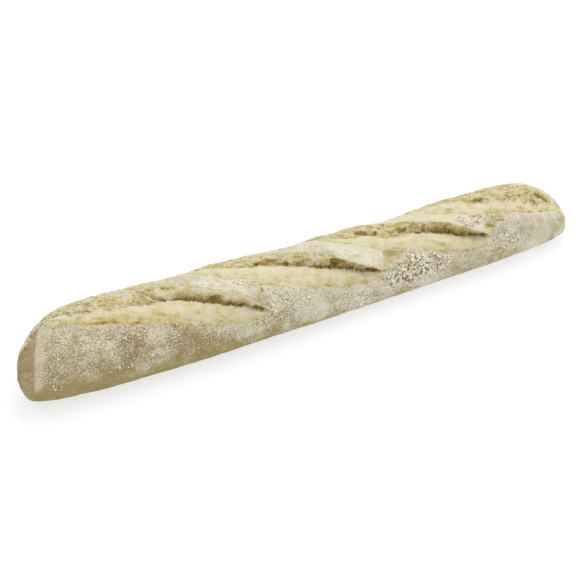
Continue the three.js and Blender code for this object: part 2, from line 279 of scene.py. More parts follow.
def cut_lines(index, u):
    """Where one cut's near edge, crease and lip are at u, each a little ragged."""
    near, crease, lip = (
        sum((far * wobble(u, length, index + seed) for far, length, seed in STRAYING[name]),
            line_through(CUTS[index][name], u))
        for name in ("near", "crease", "lip"))
    crease = np.minimum(crease, near - 0.5)
    return near, crease, np.minimum(lip, crease - 0.5)


def cut_ends(index):
    return CUTS[index]["near"][0][0], CUTS[index]["near"][-1][0]


def cut_opening(index, u, near, lip):
    """How far one cut has opened at u, from 0 to 1."""
    start, end = cut_ends(index)
    ends = smooth((u - start) / CUT_END_TAPER) * smooth((end - u) / CUT_END_TAPER)
    return smooth((near - lip) / FULL_CUT_WIDTH) * ends


def cut_values(index, name, u):
    return at_stations(CUTS[index][name], *cut_ends(index), u)


def cut_shape(index, u, s):
    """How one cut moves the crust outward and round, and how much each place belongs to its parts."""
    near, crease, lip = cut_lines(index, u)
    opening = cut_opening(index, u, near, lip)
    depth, lift, slot = (cut_values(index, name, u) * opening for name in ("depth", "lift", "slot"))

    # The crust rises to the lip and leans over the wall. The wall falls to the crease, and from
    # there the skin rises again and bulges, a small step lower than the crust at its near edge.
    down_wall = np.clip((s - lip) / (crease - lip), 0, 1)
    across_skin = np.clip((s - crease) / (near - crease), 0, 1)
    step = EDGE_STEP * smooth((near - s) / EDGE_WIDTH) * smooth(2.5 * across_skin)
    bulge = SKIN_BULGE * np.sin(math.pi * across_skin) - step
    rising_crust = lift * bell((s - lip) / LIFT_REACH)
    torn_wall = mix(lift, -depth, smooth(down_wall ** WALL_BULGE))
    skin = -depth * (1 - across_skin) ** SKIN_CURVE + bulge * opening
    out = np.select([s < lip, s < crease, s < near], [rising_crust, torn_wall, skin], 0)
    slide = lift * OVERHANG * bell((s - lip) / np.where(s < lip, LIFT_REACH, LIP_THICKNESS))

    # The slot runs along the crease, between the lip and the near edge.
    bridges = np.abs(wobble(u, BRIDGE_SPACING, index + 35))
    ragged = 0.9 + 0.3 * wobble(u, 9, index + 30) - 0.3 * bridges
    half_width = SLOT_HALF_WIDTH + SLOT_WIDENING * slot
    from_slot = s - crease + 0.6 * half_width + 0.6 * wobble(u, CRUMB_TONGUE, index + 45)
    border = np.where(from_slot > 0, LOWER_BORDER, UPPER_BORDER)
    gap = bell(from_slot / half_width / border) * smooth(ragged)
    gap *= smooth((s - lip - 1) / 2) * (s < near)
    out -= slot * gap
    slide -= slot * gap * SLOT_LEAN

    bubbly = cut_values(index, "bubbly", u)
    torn_to = crease + 1.5 + mix(1.5, 4.5, bubbly) * wobble(u + 0.6 * s, 5, index + 40)
    torn = smooth((s - lip) / 1.5) * smooth((torn_to - s) / 2.5) * opening
    parts = {
        "crumb": smooth((s - lip + 0.4) / 1.4) * smooth((near - s + 1) / 2.4) * smooth(opening * 8),
        "torn": torn,
        "toasted": torn * CUTS[index]["toasted"],
        "slot": np.clip(slot * gap / 5, 0, 1),
        "edge": bell((s - near + 1.2) / 1.3) * smooth(opening * 2),
        # How far painted shade darkens the foot of the torn wall beside a deep slot.
        "shaded_lower_wall": down_wall ** 5 * (s < crease) * np.clip(slot / 2, 0, 1),
        "skin": across_skin * (s < near) * opening,
        "beside_slot": bell((s - crease - 2) / 2.5) * slot / 4,
        "bubbly": bubbly * torn,
        "below_crease": bell((s - crease - 1) / 4) * opening,
    }
    return out, slide, parts


# Loaf
# One piece of part-baked bread. Its mesh is a ball of slanting rings, finer where the dough is
# torn, drawn out to the shape of the dough and its cuts, and then given its pits and grain.
RINGS = 350
RING_SLANT = 1.2
# Most columns of faces lie over the top, between these two distances round from the crest.
COLUMNS_OVER = 122
COLUMNS_UNDER = 10
OVER_FROM = -66.0
OVER_TO = 74.0
# Where the mesh is split finer, round by round: above and below the crease, and beside the edge.
FINER = [(15, 5, 1.3), (4, 2, 0)]
# Low swellings and hollows of the crest and the far side: u, height and reach.
SWELLS = [(-243, -2, 14), (-212, 0.5, 18), (-175, 2.7, 28), (-140, 0.4, 16), (-84, 2.3, 16),
          (-55, 0.7, 16), (14, 2.2, 14), (45, 2, 16), (80, -0.6, 20), (135, 1.5, 18),
          (190, -1.1, 14), (222, 0.6, 14), (246, -3, 9)]
SWELL_TO = 20
SWELL_FADE = 25
# Dents near the ends: u, s, length, width and depth. One with a depth below zero stands out.
DENTS = [(247, 18, 12, 16, 6.2), (-220, -28, 18, 14, 1.2), (-248, -16, 7, 10, -2.2)]
UNEVENNESS = 0.6
UNDERSIDE_FROM = 78
UNDERSIDE_FADE = 20
# A share below this counts as none.
TRACE = 0.02


def parameter_places(bm):
    """The (u, s) place of every vertex of the ball: its height gives u, its bearing gives s."""
    co = np.array([v.co for v in bm.verts])
    height = np.arctan2(co[:, 2], np.hypot(co[:, 0], co[:, 1])) / (math.pi / 2)
    bearing = np.arctan2(co[:, 1], co[:, 0]) / (2 * math.pi) % 1.0
    over = COLUMNS_OVER / (COLUMNS_OVER + COLUMNS_UNDER)
    s = np.interp(bearing, [0, over, 1], [OVER_FROM, OVER_TO, OVER_FROM + GIRTH])
    forward = np.interp(bearing, [0, over, 1], [OVER_FROM, OVER_TO, OVER_FROM])
    ring = height * U_END
    u = ring + RING_SLANT * forward * (1 - (ring / U_END) ** 2)
    return u, np.where(s > GIRTH / 2, s - GIRTH, s)


def near_a_tear(u, s, above_crease, below_crease, beside_edge):
    """Which places lie in the torn part of a cut or beside its near edge."""
    found = np.zeros(len(u), bool)
    for index in range(len(CUTS)):
        near, crease, lip = cut_lines(index, u)
        in_wall = (s > np.maximum(lip - 1.5, crease - above_crease)) & (s < crease + below_crease)
        at_edge = np.abs(s - near) < beside_edge
        found |= (cut_opening(index, u, near, lip) > TRACE) & (in_wall | at_edge)
    return found


def order_of(co):
    """A number that differs for each place, to sort vertices and faces by."""
    return co.x + math.sqrt(2) * co.y + math.sqrt(3) * co.z


def unit(vectors):
    """The vectors at a length of 1."""
    return vectors / np.maximum(np.linalg.norm(vectors, axis=-1, keepdims=True), 1e-9)


bm = bmesh.new()
bmesh.ops.create_uvsphere(bm, u_segments=COLUMNS_OVER + COLUMNS_UNDER, v_segments=RINGS, radius=1)
for above_crease, below_crease, beside_edge in FINER:
    u, s = parameter_places(bm)
    chosen = near_a_tear(u, s, above_crease, below_crease, beside_edge)
    bm.verts.index_update()
    torn_edges = [edge for edge in bm.edges if all(chosen[v.index] for v in edge.verts)]
    bmesh.ops.subdivide_edges(bm, edges=torn_edges, cuts=1, use_grid_fill=True)
# Faces are split in no fixed order, so the mesh is put in order again. The flour that is scattered
# on it later then falls on the same places in each run.
bm.verts.sort(key=lambda vert: order_of(vert.co))
bm.faces.sort(key=lambda face: order_of(face.calc_center_median()))
u, s = parameter_places(bm)
loaf_mesh = bpy.data.meshes.new("loaf_bread")
bm.to_mesh(loaf_mesh)
bm.free()

# The plain dough, and the ways out of it and round it at each place.
NUDGE = 0.01
TIP = 0.5
angle = angle_at(s)
point = body_point(u, angle)
along = body_point(u + NUDGE, angle) - body_point(u - NUDGE, angle)
round_about = unit(body_point(u, angle + NUDGE) - body_point(u, angle - NUDGE))
outward = unit(np.cross(round_about, along))
at_tip = np.abs(u) > U_END - TIP
outward[at_tip] = np.stack([np.sign(u), 0 * u, 0 * u], axis=-1)[at_tip]
round_about[at_tip] = 0

# The swellings, dents and soft waves of the dough, and then its cuts.
FAR_AWAY = 99.0
dents = sum(deep * bell((u - place) / length) * bell((s - about) / width)
            for place, about, length, width, deep in DENTS)
swell = sum(height * bell((u - place) / reach) for place, height, reach in SWELLS)
waves = np.sin(u / 13 + s / 21) + np.sin(u / 29 - s / 11 + 1) + np.sin(u / 7 + s / 9 + 2) / 2
off_underside = smooth((UNDERSIDE_FROM - np.abs(s)) / UNDERSIDE_FADE)
out = swell * smooth((SWELL_TO - s) / SWELL_FADE) + waves * UNEVENNESS / 2.5
out = off_underside * out - dents
slide = np.zeros(len(u))
share = {}
below_edge = np.full(len(u), FAR_AWAY)
for index in range(len(CUTS)):
    moved, slid, parts = cut_shape(index, u, s)
    near, crease, lip = cut_lines(index, u)
    beside = (cut_opening(index, u, near, lip) > TRACE) & (s > near)
    below_edge[beside] = np.minimum(below_edge, s - near)[beside]
    out += moved
    slide += slid
    for name, values in parts.items():
        share[name] = np.maximum(share.get(name, 0), values)
point += outward * out[:, None] + round_about * slide[:, None]
loaf_mesh.vertices.foreach_set("co", point.ravel())
loaf_mesh.update()
normals = np.zeros(len(u) * 3, np.float32)
loaf_mesh.vertex_normals.foreach_get("vector", normals)
normals = normals.reshape(-1, 3)

CUT_SLANT = math.radians(27)


def turned(along, about):
    """Distances along the loaf and round it, turned to lie along the cuts and square to them."""
    return (along * math.cos(CUT_SLANT) + about * math.sin(CUT_SLANT),
            about * math.cos(CUT_SLANT) - along * math.sin(CUT_SLANT))


def grain(x, y, z, seed, octaves=2):
    """Smooth random values, about -1 to 1, that change over one unit of x, y and z."""
    places = np.stack(np.broadcast_arrays(x + seed * 3.7, y + seed * 11.3, z + seed * 5.9), axis=-1)
    return np.array([1.6 * noise.fractal(Vector(p), 1, 2, octaves) for p in places])


def lumpy(size, seed, octaves=2, which=slice(None)):
    """Smooth random values over the loaf, or over some of its places, in lumps of the given size."""
    return grain(*(point[which] / size).T, seed, octaves)


def only_at(which, values):
    """The values at some places of the loaf, and 0 at all others."""
    everywhere = np.zeros(len(u))
    everywhere[which] = values
    return everywhere


def air_bubbles(points, spacing, frequency, seed):
    """Round pits: 1 in the middle of an air bubble, 0 between bubbles. Not every place has one."""
    shift = Vector((seed * 31.7, seed * 17.1, seed * 5.3))
    depth = []
    for p in points:
        distances, centres = noise.voronoi(Vector(p) / spacing + shift)
        lot = noise.cell(centres[0] * 7.7) * 0.5 + 0.5
        reach = 0.25 + 0.35 * lot
        inside = max(0.0, 1 - (distances[0] / reach) ** 2) ** 0.5
        depth.append(inside if lot > 1 - frequency else 0.0)
    return np.array(depth)


def beside_line(points, u, s):
    """How far each place is from a line through (u, s) points, on which side, and how far along it."""
    lengths = [math.dist(a, b) for a, b in zip(points[:-1], points[1:])]
    nearest = np.full(len(u), 1e9)
    side = np.zeros(len(u))
    progress = np.zeros(len(u))
    for i, ((u0, s0), (u1, s1)) in enumerate(zip(points[:-1], points[1:])):
        t = np.clip(((u - u0) * (u1 - u0) + (s - s0) * (s1 - s0)) / lengths[i] ** 2, 0, 1)
        apart = np.hypot(u - mix(u0, u1, t), s - mix(s0, s1, t))
        closer = apart < nearest
        nearest = np.where(closer, apart, nearest)
        side = np.where(closer, np.sign((u - u0) * (s1 - s0) - (s - s0) * (u1 - u0)), side)
        progress = np.where(closer, (sum(lengths[:i]) + t * lengths[i]) / sum(lengths), progress)
    return nearest, side, progress


# Torn dough is craggy, drawn into streaks along the cuts, and full of small air bubbles: their
# depth, spacing, how many of the places have one, and seed.
BUBBLES = [(0.9, 4.6, 0.45, 1), (0.6, 2.6, 0.5, 2)]
# Air holes that show one by one: u, s, length along the cuts, width and depth. At AMBER_DEPTH one is at its
# brownest inside, a painted shade that deepens with the depth of the hole.
AIR_HOLES = [
    (-139, -9, 12, 5, 1), (-125, -3, 15, 5, 1), (-97, 19, 13, 3, 1.4),
    (-48, -7.5, 6, 2.4, 1.2), (-38, -6.5, 8, 4, 1.5), (-28, 1, 6, 3, 1.4), (-18, 6, 4, 2.4, 1.2),
    (-8, 13, 3, 2, 1), (-3, 15.5, 3, 2, 1), (3, 18.5, 3, 2, 1), (9, 19, 15, 2.8, 2.1),
    (47, -9.5, 12, 8, 2.2), (58, -4, 4, 4, 1.5), (79, 1.5, 10, 5, 2), (87, 4, 4, 3, 0.8),
    (92, 6, 3, 3, 0.8), (97, 9, 4, 3, 1), (71, 1, 3, 2.5, 0.8), (162, -4.5, 9, 6.5, 2),
    (169, -1.5, 5, 4, 1), (178, -4, 5, 6, 0.8), (181, -1, 8, 7, 0.8), (189, 2, 4, 3, 1.3),
    (174, -11, 12, 2.5, 0.5), (201, -9, 7, 3, 0.7), (139, -12.5, 12, 2, 1), (56, 24.5, 5, 4, 0.9),
    (62, 21.5, 7, 3, 0.9), (154, 28.5, 9, 5, 1.3), (166, 27, 6, 3, 1),
]
AMBER_DEPTH = 2.8
# A narrow pocket that opened at the right end, and a crack across the torn wall of the first cut: the points
# of each, its half width and depth, and how amber it is inside, which is painted shade.
CRACKS = [
    ([(220, 7), (223, 10), (226, 13.5)], 4.4, 1.9, 0.75),
    ([(-147, -11), (-143, -5), (-137, 2), (-131, 5)], 1.2, 1.6, 0.4),
]
CRACK_BORDER = 1.2
# Where the crust of a ridge tore at the tip of a cut: the points of a ragged step, and how far rough crumb
# reaches below it. The crust rises a little up to the step and drops behind it. The crumb below the step is
# painted browner, partly its own colour and partly painted shadow of the step.
TEARS = [
    ([(71, 27), (64, 24.5), (56, 21.5), (50.5, 20.5), (48, 28), (46, 37)], 12),
    ([(146, 34), (152, 29), (158, 27), (166, 27.5), (173, 23)], 7),
    ([(-60, 15), (-60, 19), (-62, 24), (-65, 29)], 3),
]
TEAR_RISE = 0.9
TEAR_RISE_REACH = 4
TEAR_DROP = 1.3

with_cut, over_cut = turned(u, s)
rough = np.nonzero(share["torn"] > TRACE)[0]
pits = share["bubbly"] * only_at(rough, sum(
    deep * air_bubbles(point[rough], spacing, frequency, seed) for deep, spacing, frequency, seed in BUBBLES))
streaks = only_at(rough, grain(with_cut[rough] / 9, over_cut[rough] / 1.8, 0, 3))
crags = only_at(rough, lumpy(2.2, 4, which=rough))
relief = share["torn"] * (0.35 * streaks + (0.2 + 0.35 * share["bubbly"]) * crags - pits)
pit = share["torn"] * pits
hollow_shade = np.zeros(len(u))
for place, about, length, width, deep in AIR_HOLES:
    along_hole, over_hole = turned(u - place, s - about)
    apart = np.hypot(along_hole / (length / 2), over_hole / (width / 2))
    close = np.nonzero(apart < 2)[0]
    ragged_apart = apart[close] + 0.25 * lumpy(3, 5, which=close)
    hole = deep * smooth((1.15 - ragged_apart) / 0.5)
    relief[close] -= hole
    hollow_shade[close] = np.maximum(hollow_shade[close], hole / AMBER_DEPTH)
for crack, width, deep, amber in CRACKS:
    apart = beside_line(crack, u, s)[0]
    in_crack = smooth((width - apart) / CRACK_BORDER)
    relief += 0.3 * deep * bell((apart - 1.8 * width) / CRACK_BORDER) - deep * in_crack
    hollow_shade = np.maximum(hollow_shade, in_crack * amber)
below_tear = np.zeros(len(u))
for tear, reach in TEARS:
    apart, side, progress = beside_line(tear, u, s)
    apart = np.maximum(apart * side + 0.5 * wobble(u + s, 2.5, reach), -9)
    strength = smooth(progress / 0.2) * smooth((1 - progress) / 0.2) * (share["skin"] < TRACE)
    past_step = smooth((apart + 0.4) / 0.8)
    raised = bell(np.minimum(apart, 0) / TEAR_RISE_REACH) * (1 - past_step)
    lower = past_step * smooth((reach - apart) / (0.6 * reach))
    relief += strength * (TEAR_RISE * raised - TEAR_DROP * lower)
    below_tear = np.maximum(below_tear, strength * lower)
relief += below_tear * 0.5 * lumpy(2, 12)

# Short torn fibres stand beside the slot, and the smooth skin is drawn into long folds: u, s and
# length of each.
FOLDS = [(-206, 0, 14), (-186, 8, 12), (-134, 24, 26), (-108, 31.5, 12), (-78, 37.5, 10),
         (-47, 13, 14), (-22, 21, 18), (14, 33, 18), (42, 8, 10), (64, 16, 16), (96, 27, 26),
         (128, 38, 14), (166, 16, 14), (190, 22, 16), (218, 24, 10)]
FOLD_DEPTH = 0.5
untorn = share["crumb"] * (1 - share["torn"])
inner = np.nonzero(share["crumb"] > TRACE)[0]
fibres = only_at(inner, grain(with_cut[inner] / 1.1, over_cut[inner] / 7, 0, 6))
drawn = only_at(inner, grain(with_cut[inner] / 30, over_cut[inner] / 3.5, 0, 7))
crumbly = only_at(inner, lumpy(2.6, 13, 3, inner))
mottle = only_at(inner, lumpy(7, 14, 3, inner))
fold = np.zeros(len(u))
for place, about, length in FOLDS:
    along_fold, over_fold = turned(u - place, s - about)
    over_fold += 0.8 * drawn
    in_fold = smooth((over_fold + 1.4) / 0.8) * smooth((3 - over_fold) / 3.5)
    fold = np.maximum(fold, bell(along_fold / (length / 2)) * in_fold)
fold *= untorn
relief += share["crumb"] * 0.4 * fibres * share["beside_slot"]
relief += share["crumb"] * (0.2 + 0.35 * share["below_crease"]) * crumbly
relief += untorn * (0.2 * drawn + 0.15 * mottle) - FOLD_DEPTH * fold

# Flour lies thick on the ridges between the cuts, down to a line of (u, s) points, in clouds on the side, and
# thinly on the left and low down, where the crust shows. The low band is also darkened as painted shade, most
# on the left. How much there is of each, and how far round from the crest the low band starts, are at even
# stations from left to right.
RIDGE_TO = [(-260, -30), (-150, -10), (-110, 14), (-70, 32), (260, 34)]
RIDGE_FLOUR = [0.8, 0.8, 0.9, 1, 1, 1.05, 1.3, 1.2, 1]
SIDE_FLOUR = [0.4, 0.38, 0.33, 0.46, 0.62, 0.6, 0.6, 0.6, 0.55]
LOW_FLOUR_AND_SHADE = [-0.12, -0.06, 0.12, 0.2, 0.22]
LOW_BAND_FROM = [50, 57, 64, 67, 68]
# Where the flour is in clumps: u, s, reach along and round, and how much of the crust they cover.
COARSE_PATCHES = [(73, 43, 39, 18, 1), (-40, 36, 26, 13, 0.6), (-62, 12, 16, 8, 0.7),
                  (-232, 50, 8, 9, 0.35), (-226, 30, 7, 6, 0.35), (-166, 28, 14, 6, 0.3),
                  (-165, 50, 22, 10, 0.25), (164, 46, 18, 9, 0.7), (150, 17, 25, 9, 0.95),
                  (20, 56, 24, 10, 0.6)]
# Where flour lies thicker, or thinner, than round about: u, s, reach along and round, and how much.
FLOUR_PATCHES = [(-211, 13, 10, 8, 0.2), (-196, 27, 13, 8, 0.25), (-186, 38, 8, 8, 0.2),
                 (-149, 32, 12, 7, 0.2), (-221, 39, 6, 8, 0.2), (-56, 40, 9, 5, 0.3),
                 (-45, 32, 16, 9, 0.35), (-28, 39, 14, 7, 0.2), (-178, 48, 9, 14, -0.2),
                 (-172, 30, 8, 6, -0.15), (-120, 50, 14, 10, -0.1)]
# The flour on the left cracked into flakes as it dried, up to this u.
FLAKES_TO = -10
# A strip of thick flour stands on the corner of the left end, and the end face is nearly bare.
END_CORNER = [(-225, -12), (-231, -2), (-237, 9.5), (-243.5, 25), (-248, 41), (-251, 56)]
STRIP_FLOUR = 0.62
STRIP_HEIGHT = 0.9

crust = 1 - share["crumb"]
ridge = smooth((line_through(RIDGE_TO, u) - s) / 12)
past_left = smooth((u + 150) / 100)
broken = lumpy(8, 16)
clouds = 0.8 * lumpy(20, 8) + 0.4 * lumpy(6, 9)
coarse = np.zeros(len(u))
for place, about, length, width, covered in COARSE_PATCHES:
    apart = np.hypot((u - place) / length, (s - about) / width)
    coarse = np.maximum(coarse, covered * smooth((1 + 0.4 * broken - apart) / 0.5))
coarse *= crust * (1 - below_tear)
low_band = at_stations(LOW_BAND_FROM, -HALF, HALF, u)
side_flour = at_stations(SIDE_FLOUR, -HALF, HALF, u)
ridge_flour = at_stations(RIDGE_FLOUR, -HALF, HALF, u)
low_flour_and_shade = at_stations(LOW_FLOUR_AND_SHADE, -HALF, HALF, u)
flour = mix(side_flour, ridge_flour, ridge * smooth((u + 225) / 10)) + mix(0.25, 0.4, past_left) * clouds
# Under dense clumps the crust is shown darker, partly bare crust and partly painted shade between the clumps.
flour += 0.25 * smooth((16 - below_edge) / 16) + 0.3 * coarse - 1.5 * coarse ** 6 * (s > 28)
for place, about, length, width, more in FLOUR_PATCHES:
    apart = np.hypot((u - place) / length, (s - about) / width)
    flour += more * smooth((1.15 + 0.5 * broken - apart) / 0.6)
# Painted shade: the low band is darkened, most on the left, besides its thinner flour.
flour = mix(low_flour_and_shade, flour, smooth((low_band + 10 + 6 * clouds - s) / 20) * smooth((s + 75) / 20))

to_corner, corner_side, _ = beside_line(END_CORNER, u, s)
from_corner = to_corner * corner_side
face = smooth((-from_corner - 0.5) / 1.5) * (u < -215)
face *= mix(1, smooth((-214 - u) / 34), smooth((-12 - s) / 12))
flour = mix(flour, 0.16 + 0.1 * clouds, face)
strip = smooth((from_corner + 1) / 1.2) * smooth((13 - from_corner - 0.04 * s + 3 * clouds) / 5)
strip *= smooth((60 - s) / 14) * smooth((s + 14) / 4) * (u < -205)
flour = np.clip(np.maximum(flour, STRIP_FLOUR * strip), -0.4, 1.1)

# How grainy and how flaky the flour is, and the grain and wrinkles of the crust under it.
grainy = mix(mix(0.3, 0.75, past_left), 1, smooth((low_band + 6 - s) / 16))
grainy *= (1 - 0.55 * face) * (1 - 0.3 * ridge) * (1 - 0.5 * strip)
grainy *= 1 - 0.5 * smooth((u - 170) / 40) * (1 - coarse)
flaky = smooth((0.55 + 0.9 * clouds + 0.5 * broken) / 0.5) * smooth((FLAKES_TO - u) / 40)
flaky *= smooth((low_band + 4 - s) / 14) * smooth((s + 30) / 20) * crust * (1 - face) * (1 - strip)
speckle = lumpy(1.9, 10)
wrinkles = grain(u / 26, s / 3.2, 0, 15)
relief += off_underside * crust * (0.35 * lumpy(7, 11) + (0.1 + 0.2 * flour + 0.3 * coarse) * speckle)
relief += off_underside * crust * (0.12 + 0.2 * ridge) * wrinkles
relief += STRIP_HEIGHT * strip * bell(from_corner / 4)

# How brown the crumb is: palest beside the slot and golden at the edges. Its slots, holes, pits, the foot of
# each torn wall and the dip below each tear are painted amber to brown, which is painted shade. The ridge
# above the third cut lost its flour, so that it is cream like the crumb.
THIRD_CUT = 2
hollow_shade = np.clip(hollow_shade, 0, 1)
# The foot of each torn wall beside a deep slot is darkened as painted shade.
browning_and_shade = 0.06 + 0.22 * share["skin"] ** 2 + share["toasted"] + 0.3 * share["shaded_lower_wall"]
browning_and_shade += 0.2 * share["skin"] * smooth((-110 - u) / 40)
browning_and_shade += 0.2 * mottle + 0.1 * crumbly + 0.14 * streaks * share["torn"]
browning_and_shade += 0.18 * share["edge"] + 0.17 * fold
# Painted shade in the pits of the torn crumb.
browning_and_shade = np.maximum(browning_and_shade, 0.58 * smooth(pit / 0.9))
# Painted shade in each slot, reaching a little past its hollow.
browning_and_shade = np.maximum(browning_and_shade, 0.5 * smooth(2.5 * share["slot"]) + 0.42 * share["slot"])
# Painted shade inside the air holes, the pocket and the crack.
browning_and_shade = np.maximum(browning_and_shade, 0.55 * smooth(2 * hollow_shade) + 0.4 * hollow_shade)
# Partly the torn crumb's own colour and partly painted shadow below the step of each tear.
browning_and_shade = np.maximum(browning_and_shade, below_tear * (0.42 + 0.2 * lumpy(2.5, 17)))
third_lip = cut_lines(THIRD_CUT, u)[2]
cream_ridge = smooth((u - 58) / 16) * smooth((134 - u) / 7) * (1 - smooth(2 * coarse))
cream_ridge *= smooth((third_lip - s + 1) / 2) * smooth((s + 44) / 22)
shown_crumb = np.maximum(share["crumb"], cream_ridge)
shown_crumb = np.maximum(shown_crumb, smooth(2.5 * below_tear + 1.5 * pit + 2 * hollow_shade))

point += normals * relief[:, None]
low_corner, high_corner = (np.array(corner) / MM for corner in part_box("loaf"))
centring = (low_corner + high_corner - point.min(0) - point.max(0)) / 2
centring[2] = -point[:, 2].min()
point += centring
loaf_mesh.vertices.foreach_set("co", (point * MM).ravel())

# What the bread's material reads at each place.
painted = {
    "flour": flour,
    "grainy": grainy,
    "ridge": ridge * crust,
    "coarse": coarse,
    "flaky": flaky,
    "crumb": shown_crumb,
    "browning_and_shade": browning_and_shade,
    "bubbly": np.maximum(share["bubbly"], 0.45 * share["below_crease"]),
    "fibrous": np.clip(share["beside_slot"] + 0.6 * share["slot"], 0, 1),
}
for name, values in painted.items():
    attribute = loaf_mesh.attributes.new(name, "FLOAT", "POINT")
    attribute.data.foreach_set("value", values.astype(np.float32))
cut_places = np.stack([with_cut, over_cut, 0 * u], axis=-1) * MM
attribute = loaf_mesh.attributes.new("cut_place", "FLOAT_VECTOR", "POINT")
attribute.data.foreach_set("vector", cut_places.ravel().astype(np.float32))
loaf_mesh.shade_smooth()
loaf_mesh.update()
loaf = put_in_scene("loaf_bread", loaf_mesh)


def colour(code):
    """An sRGB hex colour as the linear numbers that a shader takes."""
    parts = [int(code[i:i + 2], 16) / 255 for i in (1, 3, 5)]
    return [p / 12.92 if p <= 0.04045 else ((p + 0.055) / 1.055) ** 2.4 for p in parts] + [1.0]


def add(tree, kind, settings, inputs):
    """A shader node with its settings, and its inputs set to values or linked to other nodes' outputs."""
    made = tree.nodes.new(kind)
    for name, value in settings.items():
        setattr(made, name, value)
    for name, value in inputs.items():
        if isinstance(value, bpy.types.NodeSocket):
            tree.links.new(value, made.inputs[name])
        else:
            made.inputs[name].default_value = value
    return made


def new_material(name):
    """A material without any nodes yet, and its tree."""
    made = bpy.data.materials.new(name)
    made.use_nodes = True
    made.node_tree.nodes.clear()
    return made, made.node_tree


# Part-baked bread: thin dry crust under flour, and soft matt crumb where the cuts opened. The eye gets a
# grainy, slightly grey cream on the crust, a clean butter cream inside, and amber hollows, whose amber and
# deep brown are mostly painted shade.
CRUST_BROWN = "#84744e"
CRUST_TAN = "#a18f62"
FLOUR_GREY = "#c5bba0"
FLOUR_WHITE = "#ddd7c5"
PALE_CREAM = "#d5cdb0"
BUTTER_CREAM = "#cabd8f"
TOASTED_TAN = "#b5a066"
SHADED_AMBER = "#967a3a"
SHADED_DEEP_BROWN = "#63491a"
bread, tree = new_material("part-baked bread")
object_place = add(tree, "ShaderNodeTexCoord", {}, {}).outputs["Object"]
cut_place = add(tree, "ShaderNodeAttribute", {"attribute_name": "cut_place"}, {}).outputs["Vector"]
shown = {name: add(tree, "ShaderNodeAttribute", {"attribute_name": name}, {}).outputs["Fac"]
         for name in painted}

# Random patterns, each with the length and width of its marks in millimetres, and its detail. Single
# grains of flour are too fine to show, so the flour grain is drawn as coarse as it needs to show.
pattern = {}
for name, where, length, width, detail in (
        ("flour grain", object_place, 0.95, 0.95, 3.0),
        ("flour cloud", object_place, 9, 9, 4.0),
        ("low streak", object_place, 24, 1.8, 2.0),
        ("crumb grain", object_place, 1.8, 1.8, 3.0),
        ("dough streak", cut_place, 14, 1.7, 3.0),
        ("fibre", cut_place, 0.9, 7, 2.0),
        ("ridge fold", cut_place, 12, 1.3, 4.0)):
    marks_per_metre = (1 / (length * MM), 1 / (width * MM), 1 / (width * MM))
    scaled = add(tree, "ShaderNodeVectorMath", {"operation": "MULTIPLY"}, {0: where, 1: marks_per_metre})
    marks = add(tree, "ShaderNodeTexNoise", {}, {"Vector": scaled.outputs[0], "Scale": 1.0, "Detail": detail})
    pattern[name] = marks.outputs["Fac"]
# Round spots, each with its spacing in millimetres, how far the largest reach, as a share of the
# spacing, and the distances from their border at which they start and are full.
for name, spacing, reach, start, full in (
        ("pit", 2.6, 0.5, 0.04, -0.14),
        ("pit rim", 2.6, 0.5, 0.16, 0.04),
        ("clump", 2.2, 0.8, 0.04, -0.14)):
    cells = add(tree, "ShaderNodeTexVoronoi", {}, {"Vector": object_place, "Scale": 1 / (spacing * MM)})
    lot = add(tree, "ShaderNodeSeparateXYZ", {}, {0: cells.outputs["Color"]}).outputs["X"]
    from_border = add(tree, "ShaderNodeMath", {"operation": "MULTIPLY_ADD"},
                      {0: lot, 1: -reach, 2: cells.outputs["Distance"]}).outputs[0]
    pattern[name] = add(tree, "ShaderNodeMapRange", {},
                        {"Value": from_border, "From Min": start, "From Max": full}).outputs[0]
# Cracks between flakes: thin lines on the borders of bent cells that are longer than they are
# high, in the places where the flour lies in clouds.
FLAKE_LENGTH = 3
FLAKE_HEIGHT = 1.9
FLAKE_BEND = 2.2
bending = add(tree, "ShaderNodeTexNoise", {},
              {"Vector": object_place, "Scale": 1 / (FLAKE_LENGTH * MM), "Detail": 2.0}).outputs["Color"]
bent_place = add(tree, "ShaderNodeVectorMath", {"operation": "MULTIPLY_ADD"},
                 {0: bending, 1: (FLAKE_BEND * MM,) * 3, 2: object_place}).outputs[0]
flakes_per_metre = (1 / (FLAKE_LENGTH * MM), 1 / (FLAKE_HEIGHT * MM), 1 / (FLAKE_HEIGHT * MM))
flake_place = add(tree, "ShaderNodeVectorMath", {"operation": "MULTIPLY"},
                  {0: bent_place, 1: flakes_per_metre}).outputs[0]
flakes = add(tree, "ShaderNodeTexVoronoi", {"feature": "DISTANCE_TO_EDGE"},
             {"Vector": flake_place, "Scale": 1.0})
crack_line = add(tree, "ShaderNodeMapRange", {},
                 {"Value": flakes.outputs["Distance"], "From Min": 0.2, "From Max": 0.02}).outputs[0]
in_cloud = add(tree, "ShaderNodeMapRange", {},
               {"Value": pattern["flour cloud"], "From Min": 0.42, "From Max": 0.56}).outputs[0]
pattern["crack"] = add(tree, "ShaderNodeMath", {"operation": "MULTIPLY"},
                       {0: crack_line, 1: in_cloud}).outputs[0]

